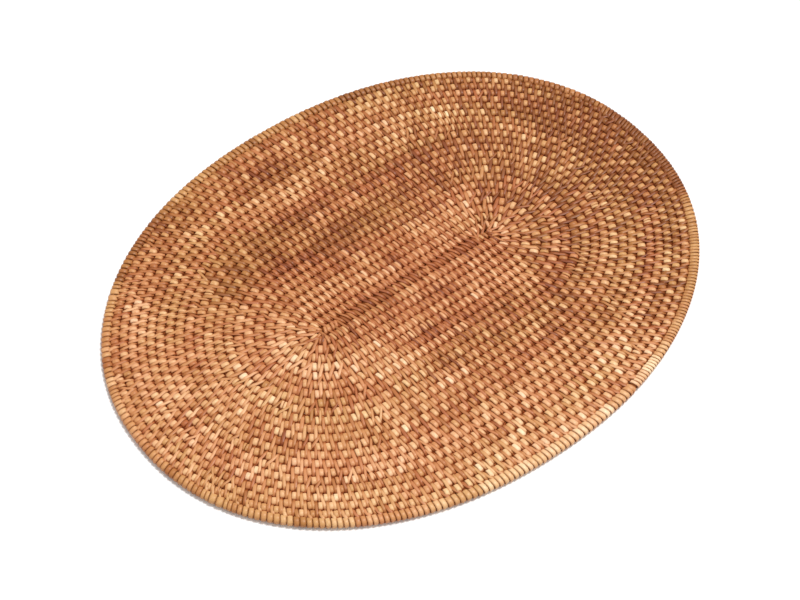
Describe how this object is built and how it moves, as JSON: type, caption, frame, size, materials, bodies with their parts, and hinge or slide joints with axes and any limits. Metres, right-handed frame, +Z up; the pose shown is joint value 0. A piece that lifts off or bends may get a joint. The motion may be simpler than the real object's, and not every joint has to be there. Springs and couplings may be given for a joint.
{
  "type": "oval rattan placemat",
  "caption": "Flat oval placemat of coiled rattan: a straight middle row with the coil wound round it, raised rows on both faces and a smooth close-wrapped rim.",
  "frame": {"origin": "middle of the oval, on the surface that the mat lies on", "axes": "+X along the mat's length and its straight middle row, +Y across it, +Z up out of the face that is used"},
  "size_m": [0.4, 0.306, 0.005],
  "materials": {
    "rattan": "split rattan, satin skin, honey brown with paler and redder strands"
  },
  "bodies": {
    "root": {"coiled_mat": "rattan"}
  },
  "joints": []
}
